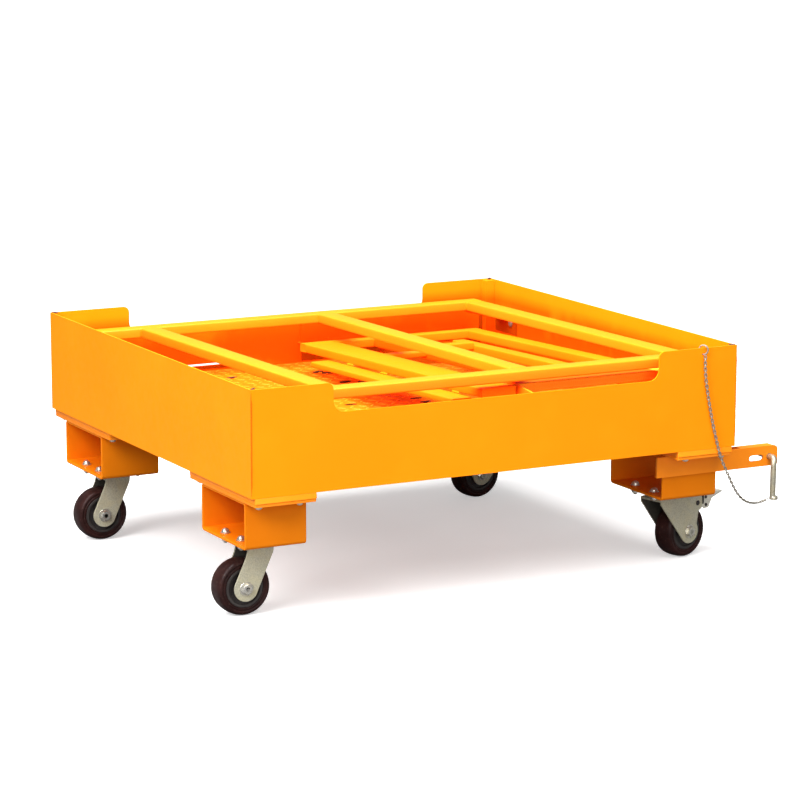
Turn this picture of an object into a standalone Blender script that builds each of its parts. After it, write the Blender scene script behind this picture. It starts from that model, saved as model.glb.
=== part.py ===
"""Folding forklift work platform, stored flat on four swivel casters.

The shapes are laid out in tray coordinates: x along the fork direction from the left wall,
y from the front wall to the back wall, z = 0 at the lower edge of the walls. One empty, "tray",
carries them to the object's own frame, where it stands on z = 0 around the origin.
"""
import math

import bmesh
import bpy
from mathutils import Matrix, Vector

OBJECT = "forklift_work_platform"
GAP = 0.0003

# tray walls, base frame and floor
TRAY_L = 1.050
TRAY_W = 0.983
WALL_H = 0.202
SHEET = 0.003
FRONT_NOTCH = (0.167, 0.871)
BACK_NOTCH = (0.176, 0.877)
NOTCH_Z = 0.146
NOTCH_R = 0.022
CORNER_R = 0.012
BEAM_H = 0.0487
BEAM_W = 0.040
BEAM_WALL = 0.003
FLOOR_Z = 0.049
FLOOR_TOP = 0.052
FLOOR_BACK_GAP = 0.010
DRAIN_PITCH = (0.150, 0.165)
DRAIN_HALF = 0.008
DRAIN_R = 0.006

# flange blocks and fork pockets, given for the front left corner
FLANGE = ((0.007, 0.0, -0.0173), (0.132, 0.293, -GAP))
POCKET = ((0.010, 0.050, -0.108), (0.135, 0.245, -0.0176))
POCKET_WALL = 0.005

# casters, in their own axes: kingpin at x = y = 0, the wheel trailing towards -x
KING = (0.0725, 0.147)
PLATE = (0.105, 0.090, 0.004)
RACE_R = 0.034
SWIVEL_Z = -0.120
AXLE_Z = -0.199
AXLE_R = 0.006
AXLE_HALF = 0.035
PLAIN_TRAIL = 0.029
BRAKED_TRAIL = 0.052
WHEEL_R = 0.054
TYRE_HALF = 0.022
RIM_HALF = 0.0205
HUB_R = 0.038
HUB_HALF = 0.023
WEB_HALF = 0.014
LEG_Y = (0.0250, 0.0285)
LEG_TOP = -0.1225
LEG_R = 0.0245
PEDAL_PIVOT = (-0.073, -0.142)
PEDAL_HALF = 0.0215
GROUND = -0.253

# cover guard: upper frame, hinged along the left wall, a little out of level
TUBE_W = 0.040
TUBE_H = 0.020
TUBE_WALL = 0.0025
COVER_X = (0.020, 0.985)
COVER_Y = (0.040, 0.945)
COVER_HINGE = (0.030, 0.040, 0.172)
COVER_SLOPE = math.radians(-1.014)
COVER_RAILS = {"cover_low_rail": 0.171, "cover_mid_rail": 0.583, "cover_top_rail": 0.945}
COVER_PIN_R = 0.005

# side guard: lower frame, hinged along the front wall, its free edge lower
SIDE_HINGE = (0.775, 0.095, 0.139)
SIDE_SLOPE = math.radians(-2.37)
SIDE_H = 0.018
SIDE_WALL = 0.002
SIDE_PIN_R = 0.004

# locking bar, pin and chain
BAR_X = (0.898, 1.183)
BAR_Z = (-0.059, -0.0182)
BAR_Y = 0.0442
BAR_T = 0.005
LIP_DEPTH = 0.024
PIN = (1.163, 0.047, -0.040)
PIN_R = 0.006
RING_CENTRE = (0.973, 0.0015, 0.198)
RING_R = 0.009
RING_WIRE = 0.0016
RING_TURN = math.radians(40)
CHAIN_R = 0.0018
CHAIN_ROUTE = [
    (0.973, -0.0065, 0.1865), (0.9745, -0.0062, 0.150), (0.983, -0.0060, 0.100), (0.993, -0.0058, 0.055),
    (1.004, -0.0055, 0.015), (1.013, -0.0050, -0.014), (1.023, -0.0045, -0.036), (1.036, -0.0030, -0.060),
    (1.052, 0.0030, -0.084), (1.070, 0.0090, -0.105), (1.090, 0.0150, -0.119), (1.110, 0.0190, -0.1255),
    (1.130, 0.0210, -0.1255), (1.1465, 0.0220, -0.1215),
]

# the object's own frame: centred on the box of everything but the chain, standing on z = 0
LEFTMOST = KING[0] - PLAIN_TRAIL - WHEEL_R
FOREMOST = RING_CENTRE[1] - RING_R * math.cos(RING_TURN) - RING_WIRE
OFFSET = Vector((-(LEFTMOST + BAR_X[1]) / 2, -(FOREMOST + TRAY_W) / 2, -GROUND))

for old in list(bpy.data.objects):
    bpy.data.objects.remove(old, do_unlink=True)
parts = bpy.data.collections.new(OBJECT)
cutters = bpy.data.collections.new("cutters")
bpy.context.scene.collection.children.link(parts)
bpy.context.scene.collection.children.link(cutters)


# ---------------------------------------------------------------- materials
def finish(name, colour, roughness, metallic):
    """Principled material."""
    material = bpy.data.materials.new(name)
    material.use_nodes = True
    shader = material.node_tree.nodes["Principled BSDF"]
    shader.inputs["Base Color"].default_value = (*colour, 1)
    shader.inputs["Roughness"].default_value = roughness
    shader.inputs["Metallic"].default_value = metallic
    return material


PAINT = finish("powder_coat", (1.0, 0.38, 0.01), 0.35, 0.0)
ZINC = finish("zinc_plate", (0.55, 0.53, 0.46), 0.45, 0.9)
STEEL = finish("bright_steel", (0.70, 0.69, 0.66), 0.25, 1.0)
CORE = finish("wheel_core", (0.04, 0.035, 0.035), 0.5, 0.2)
RUBBER = finish("tyre", (0.09, 0.03, 0.03), 0.4, 0.0)


# ---------------------------------------------------------------- placing
class Group:
    """Pieces that share a parent empty; place is the empty's position in tray coordinates."""

    def __init__(self, name, place=(0, 0, 0), parent=None, turn=(0, 0, 0)):
        self.place = Vector(place)
        self.empty = bpy.data.objects.new(name, None)
        self.empty.parent = parent.empty if parent else None
        self.empty.location = self.place - parent.place if parent else OFFSET + self.place
        self.empty.rotation_euler = turn
        parts.objects.link(self.empty)

    def add(self, obj, name, material=None, round_edges=False):
        """Adopt an object made in tray coordinates; without a material it is a cutter."""
        obj.name = name
        obj.data.name = name
        obj.parent = self.empty
        obj.location = Vector(obj.location) - self.place
        (parts if material else cutters).objects.link(obj)
        if material:
            obj.data.materials.append(material)
        else:
            obj.hide_render = True
            obj.display_type = "WIRE"
        if round_edges and obj.type == "MESH":
            obj.data.shade_smooth()
            obj.data.set_sharp_from_angle(angle=math.radians(35))
        return obj


def combine(obj, other, operation):
    """Exact Boolean of another object."""
    mod = obj.modifiers.new(other.name, "BOOLEAN")
    mod.operation = operation
    mod.solver = "EXACT"
    mod.object = other


# ---------------------------------------------------------------- shapes
TURNS = {
    "X": Matrix(((0, 0, 1, 0), (1, 0, 0, 0), (0, 1, 0, 0), (0, 0, 0, 1))),
    "Y": Matrix(((1, 0, 0, 0), (0, 0, -1, 0), (0, 1, 0, 0), (0, 0, 0, 1))),
    "Z": Matrix.Identity(4),
}


def as_object(bm):
    """Object that holds a bmesh."""
    mesh = bpy.data.meshes.new("shape")
    bm.normal_update()
    bm.to_mesh(mesh)
    bm.free()
    return bpy.data.objects.new("shape", mesh)


def cube_mesh(lo, hi):
    """Box as a bmesh."""
    bm = bmesh.new()
    middle = (Vector(hi) + Vector(lo)) / 2
    size = Matrix.Diagonal((*(Vector(hi) - Vector(lo)), 1))
    bmesh.ops.create_cube(bm, size=1, matrix=Matrix.Translation(middle) @ size)
    return bm


def box(lo, hi):
    """Solid box."""
    return as_object(cube_mesh(lo, hi))


def tube(lo, hi, axis, wall):
    """Rectangular tube, open at both ends along an axis."""
    bm = cube_mesh(lo, hi)
    bm.normal_update()
    along = "XYZ".index(axis)
    ends = [face for face in bm.faces if abs(face.normal[along]) > 0.9]
    bmesh.ops.delete(bm, geom=ends, context="FACES_ONLY")
    obj = as_object(bm)
    shell = obj.modifiers.new("wall", "SOLIDIFY")
    shell.thickness = wall
    shell.offset = -1
    shell.use_even_offset = True
    return obj


def stand(bm, axis, lo, hi):
    """Turn a shape that lies flat and centred so that it runs from lo to hi along an axis."""
    middle = [(lo + hi) / 2 if name == axis else 0 for name in "XYZ"]
    bm.transform(Matrix.Translation(middle) @ TURNS[axis])


def rod(axis, u, v, radius, lo, hi, sides=24):
    """Round bar along an axis; u and v are the other two coordinates in X, Y, Z order."""
    bm = bmesh.new()
    spot = Matrix.Translation((u, v, 0))
    bmesh.ops.create_cone(
        bm, cap_ends=True, segments=sides, radius1=radius, radius2=radius, depth=hi - lo, matrix=spot
    )
    stand(bm, axis, lo, hi)
    return as_object(bm)


def solid_curve(curve):
    """Curve as a bmesh, with its caps welded on."""
    source = bpy.data.objects.new("curve", curve)
    bpy.context.scene.collection.objects.link(source)
    graph = bpy.context.evaluated_depsgraph_get()
    mesh = bpy.data.meshes.new_from_object(source.evaluated_get(graph))
    bpy.data.objects.remove(source, do_unlink=True)
    bm = bmesh.new()
    bm.from_mesh(mesh)
    bpy.data.meshes.remove(mesh)
    bmesh.ops.remove_doubles(bm, verts=bm.verts, dist=1e-6)
    return bm


def plate(outlines, axis, lo, hi):
    """Flat plate between lo and hi along an axis, from one or more closed outlines."""
    curve = bpy.data.curves.new("outline", "CURVE")
    curve.dimensions = "2D"
    curve.fill_mode = "BOTH"
    curve.extrude = (hi - lo) / 2
    for outline in outlines:
        spline = curve.splines.new("POLY")
        spline.points.add(len(outline) - 1)
        spline.use_cyclic_u = True
        for point, (u, v) in zip(spline.points, outline):
            point.co = (u, v, 0, 1)
    bm = solid_curve(curve)
    stand(bm, axis, lo, hi)
    bm.normal_update()
    bmesh.ops.recalc_face_normals(bm, faces=bm.faces)
    return as_object(bm)


def wire(points, radius, resolution):
    """Curve object: a round bar through points."""
    curve = bpy.data.curves.new("wire", "CURVE")
    curve.dimensions = "3D"
    curve.bevel_depth = radius
    curve.bevel_resolution = resolution
    curve.use_fill_caps = True
    spline = curve.splines.new("POLY")
    spline.points.add(len(points) - 1)
    for point, place in zip(spline.points, points):
        point.co = (*place, 1)
    return bpy.data.objects.new("wire", curve)


def turned(profile, place, steps):
    """Ring turned about an axle along y; the closed profile is (radius, along) points."""
    bm = bmesh.new()
    verts = [bm.verts.new((radius, 0, along)) for radius, along in profile]
    for first, second in zip(verts, verts[1:] + verts[:1]):
        bm.edges.new((first, second))
    obj = as_object(bm)
    obj.location = place
    obj.rotation_euler = (math.pi / 2, 0, 0)
    screw = obj.modifiers.new("turn", "SCREW")
    screw.steps = steps
    screw.render_steps = steps
    screw.use_merge_vertices = True
    screw.merge_threshold = 0.0001
    return obj


def arc(u, v, radius, start, end, steps):
    """Points along an arc, angles in degrees."""
    angles = [math.radians(start + (end - start) * i / steps) for i in range(steps + 1)]
    return [(u + radius * math.cos(a), v + radius * math.sin(a)) for a in angles]


def oblong(u, v, half, radius, steps):
    """Slot with round ends, half apart from its middle to each end's centre."""
    return arc(u + half, v, radius, -90, 90, steps) + arc(u - half, v, radius, 90, 270, steps)


def smooth_route(points, steps):
    """Points on one smooth curve through the given points."""
    knots = [Vector(p) for p in points]
    route = []
    for i in range(len(knots) - 1):
        before = knots[max(i - 1, 0)]
        after = knots[min(i + 2, len(knots) - 1)]
        for k in range(steps):
            t = k / steps
            start, end = knots[i], knots[i + 1]
            linear = (end - before) * t
            square = (2 * before - 5 * start + 4 * end - after) * t**2
            cubic = (3 * start - before - 3 * end + after) * t**3
            route.append(start + (linear + square + cubic) / 2)
    return route + [knots[-1]]


tray = Group("tray")


# ---------------------------------------------------------------- walls, frame and floor
def notched_wall(notch):
    """Outline of a long wall that is lower between the two ends of the notch."""
    left, right = notch
    outline = [(0, 0), (TRAY_L, 0), (TRAY_L, WALL_H)]
    outline += arc(right + CORNER_R, WALL_H - CORNER_R, CORNER_R, 90, 180, 4)
    outline += arc(right - NOTCH_R, NOTCH_Z + NOTCH_R, NOTCH_R, 0, -90, 5)
    outline += arc(left + NOTCH_R, NOTCH_Z + NOTCH_R, NOTCH_R, -90, -180, 5)
    outline += arc(left - CORNER_R, WALL_H - CORNER_R, CORNER_R, 0, 90, 4)
    return outline + [(0, WALL_H)]


def make_tray():
    """Four walls, three base beams, floor plate, stiffener and corner post."""
    front = tray.add(plate([notched_wall(FRONT_NOTCH)], "Y", 0, SHEET), "wall_front", PAINT)
    ring_hole = rod("Y", RING_CENTRE[0], RING_CENTRE[2] - RING_R, 0.004, -0.01, 0.01, 16)
    combine(front, tray.add(ring_hole, "cut_ring_hole"), "DIFFERENCE")
    back = tray.add(plate([notched_wall(BACK_NOTCH)], "Y", TRAY_W - SHEET, TRAY_W), "wall_back", PAINT)
    slit = box((0.235, TRAY_W - 0.02, 0.0615), (0.440, TRAY_W + 0.02, 0.0655))
    combine(back, tray.add(slit, "cut_back_slit"), "DIFFERENCE")

    x0, x1 = SHEET + GAP, TRAY_L - SHEET - GAP
    y0, y1 = SHEET + GAP, TRAY_W - SHEET - GAP
    tray.add(box((0, y0, 0), (SHEET, y1, WALL_H)), "wall_left", PAINT)
    tray.add(box((TRAY_L - SHEET, y0, 0), (TRAY_L, y1, WALL_H)), "wall_right", PAINT)
    for name, y in (("base_front", y0), ("base_back", y1 - BEAM_W)):
        tray.add(tube((x0, y, 0), (x1, y + BEAM_W, BEAM_H), "X", BEAM_WALL), name, PAINT)
    middle = TRAY_L / 2
    low = (middle - BEAM_W / 2, y0 + BEAM_W + GAP, 0)
    high = (middle + BEAM_W / 2, y1 - BEAM_W - GAP, BEAM_H)
    tray.add(tube(low, high, "Y", BEAM_WALL), "base_mid", PAINT)

    floor = box((x0, y0, FLOOR_Z), (x1, y1 - FLOOR_BACK_GAP, FLOOR_TOP))
    floor = tray.add(floor, "floor_plate", PAINT)
    slots = []
    for row in range(5):
        shift = DRAIN_PITCH[0] / 2 if row % 2 else 0
        for column in range(5 if row % 2 else 6):
            u = DRAIN_PITCH[0] * (1 + column) + shift
            slots.append(oblong(u, 0.160 + DRAIN_PITCH[1] * row, DRAIN_HALF, DRAIN_R, 4))
    drains = plate(slots, "Z", FLOOR_Z - 0.01, FLOOR_TOP + 0.01)
    combine(floor, tray.add(drains, "cut_drains"), "DIFFERENCE")

    tray.add(box((0.575, TRAY_W - 0.0095, 0.094), (1.020, y1, 0.150)), "back_stiffener", PAINT)
    tray.add(box((1.0245, TRAY_W - 0.026, FLOOR_TOP + GAP), (x1, y1, 0.2005)), "corner_post", PAINT)


# ---------------------------------------------------------------- fork pockets
CORNERS = {"fl": (False, False), "fr": (True, False), "bl": (False, True), "br": (True, True)}


def at_corner(corners, tag):
    """Front left box carried to another corner of the tray."""
    lo, hi = list(corners[0]), list(corners[1])
    for axis, flip, size in zip((0, 1), CORNERS[tag], (TRAY_L, TRAY_W)):
        if flip:
            lo[axis], hi[axis] = size - hi[axis], size - lo[axis]
    return lo, hi


def make_pocket(tag):
    """Flange block and the fork pocket under it."""
    tray.add(box(*at_corner(FLANGE, tag)), "flange_" + tag, PAINT)
    tray.add(tube(*at_corner(POCKET, tag), "X", POCKET_WALL), "pocket_" + tag, PAINT)


# ---------------------------------------------------------------- casters
def leg_outline(with_brake):
    """Side view of a fork leg; a braked one has a lobe for the pedal's pivot."""
    if not with_brake:
        outline = [(-0.024, LEG_TOP), (0.028, LEG_TOP), (0.027, -0.133)]
        return outline + arc(-PLAIN_TRAIL, AXLE_Z, LEG_R, -38, -212, 12) + [(-0.029, -0.140)]
    outline = [(-0.024, LEG_TOP), (0.034, LEG_TOP), (0.033, -0.133)]
    outline += arc(-BRAKED_TRAIL, AXLE_Z, LEG_R, -38, -212, 12)
    outline += [(-0.078, -0.160), (-0.086, -0.155), (-0.089, -0.148), (-0.088, -0.134)]
    return outline + [(-0.082, -0.129), (-0.061, -0.128), (-0.034, LEG_TOP)]


PEDAL_OUTLINE = [
    (-0.066, -0.136), (-0.074, -0.1325), (-0.093, -0.1285), (-0.155, -0.129), (-0.157, -0.133),
    (-0.126, -0.142), (-0.116, -0.160), (-0.102, -0.161), (-0.093, -0.1505), (-0.074, -0.146), (-0.066, -0.1433),
]


def shifted(outline, x):
    """Outline moved along x."""
    return [(u + x, v) for u, v in outline]


def make_caster(tag, angle, with_brake):
    """Top plate, fork with axle, hub, tyre and, on the right-hand casters, the brake pedal."""
    x = TRAY_L - KING[0] if CORNERS[tag][0] else KING[0]
    y = TRAY_W - KING[1] if CORNERS[tag][1] else KING[1]
    roof = POCKET[0][2] - GAP
    trail = BRAKED_TRAIL if with_brake else PLAIN_TRAIL
    low = (x - PLATE[0] / 2, y - PLATE[1] / 2, roof - PLATE[2])
    tray.add(box(low, (x + PLATE[0] / 2, y + PLATE[1] / 2, roof)), "caster_plate_" + tag, ZINC)

    swivel = Group("swivel_" + tag, (x, y, SWIVEL_Z), tray, (0, 0, angle))
    legs = plate([shifted(leg_outline(with_brake), x)], "Y", y - LEG_Y[1], y + LEG_Y[1])
    fork = swivel.add(legs, "fork_" + tag, ZINC)
    room = box((x - 0.12, y - LEG_Y[0], -0.26), (x + 0.08, y + LEG_Y[0], LEG_TOP - 0.005))
    combine(fork, swivel.add(room, "cut_wheel_room_" + tag), "DIFFERENCE")
    race = rod("Z", x, y, RACE_R, LEG_TOP - 0.001, roof - PLATE[2] - GAP, 32)
    combine(fork, swivel.add(race, "add_race_" + tag), "UNION")
    axle = rod("Y", x - trail, AXLE_Z, AXLE_R, y - AXLE_HALF, y + AXLE_HALF)
    combine(fork, swivel.add(axle, "add_axle_" + tag), "UNION")

    place = (x - trail, y, AXLE_Z)
    wheel = Group("wheel_" + tag, place, swivel)
    bore = AXLE_R + 0.0004
    rim = HUB_R - 0.006
    side = [(HUB_R, RIM_HALF), (rim, WEB_HALF), (0.015, WEB_HALF), (0.013, HUB_HALF), (bore, HUB_HALF)]
    hub = side[::-1] + [(r, -w) for r, w in side]
    wheel.add(turned(hub, place, 32), "hub_" + tag, CORE)
    tread = [(HUB_R + GAP, RIM_HALF), (WHEEL_R - 0.008, TYRE_HALF), (WHEEL_R - 0.003, TYRE_HALF - 0.002)]
    tread += [(WHEEL_R - 0.0005, TYRE_HALF - 0.008), (WHEEL_R, 0)]
    tyre = tread + [(r, -w) for r, w in tread[-2::-1]]
    wheel.add(turned(tyre, place, 48), "tyre_" + tag, RUBBER)

    if with_brake:
        hinge = Group("pedal_" + tag, (x + PEDAL_PIVOT[0], y, PEDAL_PIVOT[1]), swivel)
        lever = plate([shifted(PEDAL_OUTLINE, x)], "Y", y - PEDAL_HALF, y + PEDAL_HALF)
        pedal = hinge.add(lever, "brake_pedal_" + tag, ZINC)
        inner = PEDAL_HALF - 0.0025
        under = box((x - 0.140, y - inner, -0.17), (x - 0.082, y + inner, -0.1335))
        combine(pedal, hinge.add(under, "cut_pedal_" + tag), "DIFFERENCE")


# ---------------------------------------------------------------- cover guard
def make_cover_guard():
    """Two posts, three rails and their hinge lugs on the left wall."""
    cover = Group("cover_hinge", COVER_HINGE, tray, (COVER_SLOPE, 0, 0))
    x, _, z = COVER_HINGE
    low, high = z - TUBE_H / 2, z + TUBE_H / 2
    for name, y in (("cover_post_front", COVER_Y[0]), ("cover_post_back", COVER_Y[1] - TUBE_W)):
        bar = tube((COVER_X[0], y, low), (COVER_X[1], y + TUBE_W, high), "X", TUBE_WALL)
        post = cover.add(bar, name, PAINT)
        hole = rod("Y", x, z, COVER_PIN_R + 0.0004, y - 0.01, y + TUBE_W + 0.01, 20)
        combine(post, cover.add(hole, "cut_" + name), "DIFFERENCE")
    y0, y1 = COVER_Y[0] + TUBE_W + GAP, COVER_Y[1] - TUBE_W - GAP
    for name, rail_x in COVER_RAILS.items():
        bar = tube((rail_x, y0, low), (rail_x + TUBE_W, y1, high), "Y", TUBE_WALL)
        cover.add(bar, name, PAINT)

    wall = SHEET + GAP
    ear = [(wall, z - 0.020), (x, z - 0.020)] + arc(x, z, 0.014, -60, 60, 6) + [(x, z + 0.018), (wall, z + 0.018)]
    for name, plate_y, pin_y in (
        ("cover_lug_front", (0.027, 0.033), (0.025, 0.090)),
        ("cover_lug_back", (0.952, 0.958), (0.895, 0.960)),
    ):
        lug = cover.add(plate([ear], "Y", *plate_y), name, PAINT)
        pin = cover.add(rod("Y", x, z, COVER_PIN_R, *pin_y, 20), "add_pin_" + name)
        combine(lug, pin, "UNION")
    for name, y0, y1 in (("cover_rest_front", 0.060, 0.110), ("cover_rest_back", 0.885, 0.935)):
        top = low + math.tan(COVER_SLOPE) * (y1 - COVER_HINGE[1]) - 0.0008
        tray.add(box((0.960, y0, top - 0.006), (TRAY_L - wall, y1, top)), name, PAINT)


# ---------------------------------------------------------------- side guard
def make_side_guard():
    """Bars of the lower frame, its hinge lugs on the front wall and the block it rests on."""
    side = Group("side_hinge", SIDE_HINGE, tray, (SIDE_SLOPE, 0, 0))
    _, y, z = SIDE_HINGE
    top = z + 0.010
    low = top - SIDE_H
    near, far = 0.075, 0.850
    bars = {
        "side_bottom_rail": ((0.600, near, low), (0.950, 0.115, top), "X"),
        "side_top_rail": ((0.512, 0.822, low), (0.938, far, top), "X"),
        "side_post_left": ((0.512, 0.060, low), (0.586, 0.822 - GAP, top), "Y"),
        "side_post_right": ((0.903, 0.115 + GAP, low), (0.938, 0.822 - GAP, top), "Y"),
        "side_post_mid": ((0.675, 0.115 + GAP, low), (0.705, 0.822 - GAP, top), "Y"),
        "side_outer_bar": ((0.468, 0.100, low - 0.014), (0.512 - GAP, 0.709, top - 0.0205), "Y"),
        "side_inner_bar": ((0.820, 0.115 + GAP, low - 0.006), (0.850, 0.740, top - 0.006), "Y"),
        "side_cross_strip": ((0.705 + GAP, 0.645, low + 0.002), (0.820 - GAP, 0.672, top), "X"),
    }
    for name, (lo, hi, axis) in bars.items():
        bar = side.add(tube(lo, hi, axis, SIDE_WALL), name, PAINT)
        if name == "side_bottom_rail":
            hole = rod("X", y, z, SIDE_PIN_R + 0.0004, 0.55, 1.0, 20)
            combine(bar, side.add(hole, "cut_side_pin"), "DIFFERENCE")
        if name == "side_post_mid":
            arm = box((0.586 + GAP, 0.585, low + 0.006), (0.676, 0.612, top - 0.001))
            combine(bar, side.add(arm, "add_side_arm"), "UNION")

    wall = SHEET + GAP
    ear = [(wall, 0.124), (y, 0.124)] + arc(y, z, 0.013, -80, 80, 6) + [(y, 0.1535), (wall, 0.144)]
    for name, plate_x, pin_x in (
        ("side_lug_left", (0.591, 0.596), (0.589, 0.645)),
        ("side_lug_right", (0.951, 0.956), (0.905, 0.958)),
    ):
        lug = tray.add(plate([ear], "X", *plate_x), name, PAINT)
        pin = tray.add(rod("X", y, z, SIDE_PIN_R, *pin_x, 20), "add_pin_" + name)
        combine(lug, pin, "UNION")
    reach = far - y
    rest_top = z + math.cos(SIDE_SLOPE) * (low - z) + math.sin(SIDE_SLOPE) * reach - 0.0006
    tray.add(box((0.700, 0.826, FLOOR_TOP + GAP), (0.880, 0.846, rest_top)), "side_rest", PAINT)


# ---------------------------------------------------------------- locking bar, pin and chain
def make_lock():
    """Bar on the front right pocket, the pin through its end, and the pin's chain."""
    x0, x1 = BAR_X
    z0, z1 = BAR_Z
    outline = [(x0, z0), (x1 - 0.004, z0), (x1, z0 + 0.004)]
    outline += arc(x1 - 0.009, z1 - 0.009, 0.009, 0, 90, 4) + [(x0, z1)]
    bar = tray.add(plate([outline], "Y", BAR_Y, BAR_Y + BAR_T), "lock_bar", PAINT)
    lip = box((TRAY_L - 0.009, BAR_Y + 0.002, z1 - BAR_T), (x1 - 0.009, BAR_Y + LIP_DEPTH, z1))
    combine(bar, tray.add(lip, "add_bar_lip"), "UNION")
    slot = plate([oblong(1.132, -0.041, 0.011, 0.006, 6)], "Y", 0.030, 0.055)
    combine(bar, tray.add(slot, "cut_bar_slot"), "DIFFERENCE")
    eyelet = rod("Y", PIN[0], PIN[2], PIN_R + 0.0004, 0.030, 0.080)
    combine(bar, tray.add(eyelet, "cut_bar_eyelet"), "DIFFERENCE")

    hand = Group("lock_pin_slide", PIN, tray)
    x, _, z = PIN
    route = [(x, 0.080, z), (x, 0.034, z), (x - 0.0008, 0.028, z - 0.0015), (x - 0.003, 0.0235, z - 0.006)]
    route += [(x - 0.0045, 0.022, z - 0.013), (x - 0.005, 0.022, -0.118)]
    hook = wire(route, PIN_R, 4)
    pin = hand.add(as_object(solid_curve(hook.data)), "lock_pin", STEEL, round_edges=True)
    bpy.data.objects.remove(hook, do_unlink=True)
    foot = hand.add(box((x - 0.0138, 0.015, -0.124), (x + 0.009, 0.029, -0.1165)), "add_pin_foot")
    combine(pin, foot, "UNION")

    bpy.ops.mesh.primitive_torus_add(
        major_radius=RING_R, minor_radius=RING_WIRE, major_segments=32, minor_segments=8
    )
    ring = bpy.context.object
    ring.users_collection[0].objects.unlink(ring)
    ring.location = RING_CENTRE
    ring.rotation_euler = (0, math.pi / 2, RING_TURN)
    tray.add(ring, "chain_ring", STEEL, round_edges=True)
    tray.add(wire(smooth_route(CHAIN_ROUTE, 3), CHAIN_R, 2), "chain", STEEL)


make_tray()
for corner in CORNERS:
    make_pocket(corner)
make_caster("fl", 0, False)
make_caster("bl", 0, False)
make_caster("fr", math.radians(195), True)
make_caster("br", math.radians(8), True)
make_cover_guard()
make_side_guard()
make_lock()
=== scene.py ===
import math

import bmesh
import bpy
from mathutils import Matrix, Vector, noise


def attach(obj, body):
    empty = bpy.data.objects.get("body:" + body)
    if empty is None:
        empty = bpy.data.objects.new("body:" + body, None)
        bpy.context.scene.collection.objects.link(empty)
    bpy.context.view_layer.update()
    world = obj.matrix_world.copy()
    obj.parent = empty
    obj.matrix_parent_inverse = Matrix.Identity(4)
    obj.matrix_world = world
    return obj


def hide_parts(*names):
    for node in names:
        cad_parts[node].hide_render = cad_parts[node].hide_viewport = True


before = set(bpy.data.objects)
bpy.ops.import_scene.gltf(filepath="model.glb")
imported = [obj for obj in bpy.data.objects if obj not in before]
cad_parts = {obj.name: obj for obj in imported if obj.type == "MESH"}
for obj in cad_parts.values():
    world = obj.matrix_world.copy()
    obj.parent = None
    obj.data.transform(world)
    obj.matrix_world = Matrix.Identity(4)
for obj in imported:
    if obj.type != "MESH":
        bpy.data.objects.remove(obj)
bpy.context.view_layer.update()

# ---------------------------------------------------------------- dimensions, in tray coordinates
# x along the fork direction from the left wall, y from the front wall to the back wall,
# z = 0 at the walls' lower edge; metres
TRAY_L = 1.050
TRAY_W = 0.983
SHEET = 0.003
GAP = 0.0003
WALL_H = 0.202
FLOOR_TOP = 0.052
DRAIN_PITCH = (0.150, 0.165)
DRAIN_HALF = (0.014, 0.006)
DRAIN_START = 0.160
DRAIN_ROWS = 5
FLANGE = ((0.007, 0.0, -0.0173), (0.132, 0.293, -GAP))
POCKET = ((0.010, 0.050, -0.108), (0.135, 0.245, -0.0176))
POCKET_WALL = 0.005
KING = (0.0725, 0.147)
ROOF = POCKET[0][2] - GAP
AXLE_Z = -0.199
PLAIN_TRAIL = 0.029
BRAKED_TRAIL = 0.052
WHEEL_R = 0.054
LEG_TOP = -0.1225
LEG_R = 0.0245
LEG_Y = (0.0250, 0.0285)
PEDAL_HALF = 0.0215
GROUND = -0.253
TUBE_W = 0.040
TUBE_H = 0.020
COVER_X = (0.020, 0.985)
COVER_Y = (0.040, 0.945)
COVER_HINGE = Vector((0.030, 0.040, 0.172))
COVER_SLOPE = math.radians(-1.014)
COVER_RAILS = {"cover_low_rail": 0.171, "cover_mid_rail": 0.583, "cover_top_rail": 0.945}
SIDE_HINGE = Vector((0.775, 0.095, 0.139))
SIDE_SLOPE = math.radians(-2.37)
SIDE_TOP = SIDE_HINGE.z + 0.010
SIDE_H = 0.018
PIN = (1.163, 0.047, -0.040)
PIN_R = 0.006
RING_CENTRE = Vector((0.973, 0.0015, 0.198))
RING_R = 0.009
RING_WIRE = 0.0016
RING_TURN = math.radians(40)
BAR_TIP = 1.183
LEFTMOST = KING[0] - PLAIN_TRAIL - WHEEL_R
FOREMOST = RING_CENTRE.y - RING_R * math.cos(RING_TURN) - RING_WIRE
OFFSET = Vector((-(LEFTMOST + BAR_TIP) / 2, -(FOREMOST + TRAY_W) / 2, -GROUND))
TRAY = Matrix.Translation(OFFSET)
CHAIN_ROUTE = [
    (0.973, -0.0065, 0.1865), (0.9745, -0.0062, 0.150), (0.983, -0.0060, 0.100), (0.993, -0.0058, 0.055),
    (1.004, -0.0055, 0.015), (1.013, -0.0050, -0.014), (1.023, -0.0045, -0.036), (1.036, -0.0030, -0.060),
    (1.052, 0.0030, -0.084), (1.070, 0.0090, -0.105), (1.090, 0.0150, -0.119), (1.110, 0.0190, -0.1255),
    (1.130, 0.0210, -0.1255), (1.1465, 0.0220, -0.1215),
]
LINK_LONG = 0.0084
LINK_WIDE = 0.0042
LINK_WIRE = 0.00098
LINK_PITCH = 0.0058
LINK_SHIFT = Vector((0, 0.0008, 0))  # keeps the links inside the front of the CAD box
LIT_POINT = Vector((0, 0, 0.25))
CAMERA_PLACE = Vector((-2.32499, -4.99038, 1.23963))
CAMERA_AZIMUTH = math.radians(-27.78223)
CAMERA_ELEVATION = math.radians(10.85926)
CAMERA_ROLL = math.radians(0.1005)
CAMERA_LENS = 139.64985  # millimetres on a 36 mm wide sensor
CORNERS = {"fl": (False, False), "fr": (True, False), "bl": (False, True), "br": (True, True)}
CASTERS = {"fl": (0, False), "bl": (0, False), "fr": (195, True), "br": (8, True)}


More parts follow.
